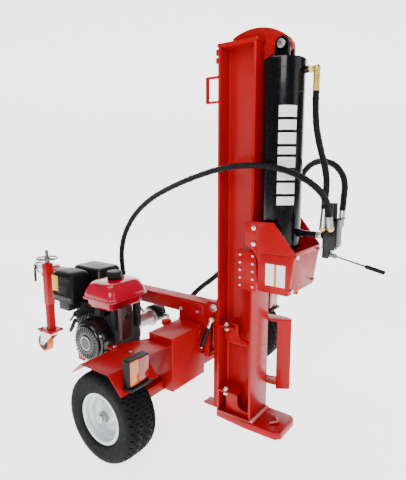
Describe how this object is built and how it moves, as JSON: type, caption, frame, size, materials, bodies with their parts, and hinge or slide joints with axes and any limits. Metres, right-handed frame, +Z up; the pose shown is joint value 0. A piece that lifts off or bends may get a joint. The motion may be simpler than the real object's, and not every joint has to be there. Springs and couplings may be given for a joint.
{
  "type": "log splitter",
  "caption": "Towable log splitter with a vertical beam, hydraulic ram and wedge, foot plate, small engine, pump, tank, wheels and a jack on the tongue.",
  "frame": {"origin": "on the ground under the middle of the beam's working face, on the underside of the foot plate", "axes": "+Z up, +X towards the person loading a log, -X along the tongue"},
  "size_m": [2.4022, 1.36, 1.8524],
  "materials": {
    "red_paint": "gloss",
    "black_paint": "satin",
    "cylinder_black": "gloss",
    "zinc": "satin",
    "bare_steel": "satin",
    "rod_chrome": "polished",
    "rim_silver": "satin",
    "tyre_rubber": "matte",
    "hose_rubber": "satin",
    "caster_orange": "satin",
    "black_plastic": "matte",
    "amber_plastic": "gloss",
    "lens_red": "gloss",
    "tank_crimson": "gloss",
    "cast_aluminium": "satin",
    "engine_aluminium": "matte"
  },
  "bodies": {
    "chassis": {"tongue": "red_paint", "coupler_body": "black_paint", "pivot_pin": "zinc", "hydraulic_tank": "red_paint", "axle": "red_paint", "frame_bolts": "zinc", "fenders": "red_paint", "light_housings": "black_plastic", "amber_lenses": "amber_plastic", "red_lenses": "lens_red", "engine_frame": "red_paint", "engine_block": "engine_aluminium", "recoil_housing": "black_plastic", "fuel_tank": "tank_crimson", "air_cleaner": "black_plastic", "muffler": "black_paint", "control_box": "black_plastic", "pump_adapter": "cast_aluminium", "pump_body": "black_paint", "pump_fittings": "zinc", "jack_outer_tube": "red_paint", "pressure_hose_lower": "hose_rubber", "return_hose_lower": "hose_rubber"},
    "beam": {"beam": "red_paint", "foot_plate": "red_paint", "log_catcher": "red_paint", "log_guard": "red_paint", "beam_bolts": "zinc", "cylinder_barrel": "cylinder_black", "cylinder_head": "cylinder_black", "clevis_pin": "zinc", "valve_body": "black_paint", "hose_fittings": "zinc", "pressure_hose_upper": "hose_rubber", "return_hose_upper": "hose_rubber", "cylinder_hose": "hose_rubber"},
    "ram": {"piston": "bare_steel", "ram_rod": "rod_chrome", "wedge": "red_paint", "gib_bars": "bare_steel", "carriage_bolts": "zinc"},
    "valve_lever": {"valve_lever": "zinc"},
    "valve_spool": {"valve_spool": "bare_steel"},
    "lock_pin": {"lock_pin": "zinc"},
    "coupler_latch": {"coupler_latch": "black_plastic"},
    "near_wheel": {"near_tyre": "tyre_rubber", "near_rim": "rim_silver"},
    "far_wheel": {"far_tyre": "tyre_rubber", "far_rim": "rim_silver"},
    "crank": {"crankshaft": "bare_steel"},
    "jack_leg": {"jack_inner_tube": "red_paint"},
    "jack_handle": {"jack_screw": "zinc"},
    "caster": {"caster_fork": "zinc"},
    "caster_roller": {"caster_wheel": "black_plastic", "caster_tread": "caster_orange"},
    "caster_pedal": {"caster_pedal": "black_plastic"},
    "recoil_grip": {"recoil_grip": "black_plastic"},
    "throttle_lever": {"throttle_lever": "black_plastic"},
    "engine_switch": {"engine_switch": "black_plastic"},
    "fuel_cap": {"fuel_cap": "black_plastic"}
  },
  "joints": [
    {"name": "beam_tilt", "type": "hinge", "parent": "chassis", "child": "beam", "pos_m": [-0.232, 0, 0.562], "axis": [0, -1, 0], "range_deg": [0, 90]},
    {"name": "ram_slide", "type": "slide", "parent": "beam", "child": "ram", "axis": [0, 0, -1], "range_m": [0, 0.61]},
    {"name": "valve_lever_tilt", "type": "hinge", "parent": "beam", "child": "valve_lever", "pos_m": [0.312, 0, 0.896], "axis": [0, 1, 0], "range_deg": [-18, 18], "stiffness_Nm_per_rad": 20},
    {"name": "valve_spool_slide", "type": "slide", "parent": "beam", "child": "valve_spool", "axis": [0, 0, -1], "range_m": [-0.006, 0.006]},
    {"name": "lock_pin_pull", "type": "slide", "parent": "chassis", "child": "lock_pin", "axis": [0, -1, 0], "range_m": [-0.02, 0.06]},
    {"name": "coupler_latch_swing", "type": "hinge", "parent": "chassis", "child": "coupler_latch", "pos_m": [-1.78, -0.052, 0.56], "axis": [0, 1, 0], "range_deg": [0, 75]},
    {"name": "near_wheel_spin", "type": "hinge", "parent": "chassis", "child": "near_wheel", "pos_m": [-0.396, -0.599, 0.203], "axis": [0, 1, 0], "continuous": true},
    {"name": "far_wheel_spin", "type": "hinge", "parent": "chassis", "child": "far_wheel", "pos_m": [-0.396, 0.599, 0.203], "axis": [0, 1, 0], "continuous": true},
    {"name": "crank_spin", "type": "hinge", "parent": "chassis", "child": "crank", "pos_m": [-0.7, -0.3, 0.405], "axis": [0, 1, 0], "continuous": true},
    {"name": "jack_handle_turn", "type": "hinge", "parent": "chassis", "child": "jack_handle", "pos_m": [-1.532, -0.116, 0.662], "axis": [0, 0, -1], "range_deg": [0, 7200]},
    {"name": "jack_leg_slide", "type": "slide", "parent": "chassis", "child": "jack_leg", "axis": [0, 0, -1], "range_m": [0, 0.2001]},
    {"name": "caster_swivel", "type": "hinge", "parent": "jack_leg", "child": "caster", "pos_m": [-1.532, -0.116, 0.15], "axis": [0, 0, 1], "continuous": true},
    {"name": "caster_roll", "type": "hinge", "parent": "caster", "child": "caster_roller", "pos_m": [-1.607, -0.116, 0.062], "axis": [0, 1, 0], "continuous": true},
    {"name": "caster_pedal_press", "type": "hinge", "parent": "caster", "child": "caster_pedal", "pos_m": [-1.602, -0.116, 0.132], "axis": [0, 1, 0], "range_deg": [0, 18]},
    {"name": "recoil_pull", "type": "slide", "parent": "chassis", "child": "recoil_grip", "axis": [-0.8526, 0, 0.5225], "range_m": [0, 0.6], "stiffness_N_per_m": 30},
    {"name": "throttle_swing", "type": "hinge", "parent": "chassis", "child": "throttle_lever", "pos_m": [-0.815, -0.457, 0.52], "axis": [0, 1, 0], "range_deg": [0, 30]},
    {"name": "engine_switch_turn", "type": "hinge", "parent": "chassis", "child": "engine_switch", "pos_m": [-0.507, -0.38, 0.548], "axis": [1, 0, 0], "range_deg": [0, 60]},
    {"name": "fuel_cap_turn", "type": "hinge", "parent": "chassis", "child": "fuel_cap", "pos_m": [-0.655, -0.322, 0.72], "axis": [0, 0, 1], "range_deg": [0, 90]}
  ],
  "couplings": [
    {"joint": "valve_spool_slide", "follows": "valve_lever_tilt", "m_per_rad": 0.018},
    {"joint": "jack_leg_slide", "follows": "jack_handle_turn", "m_per_rad": 0.0015915}
  ]
}
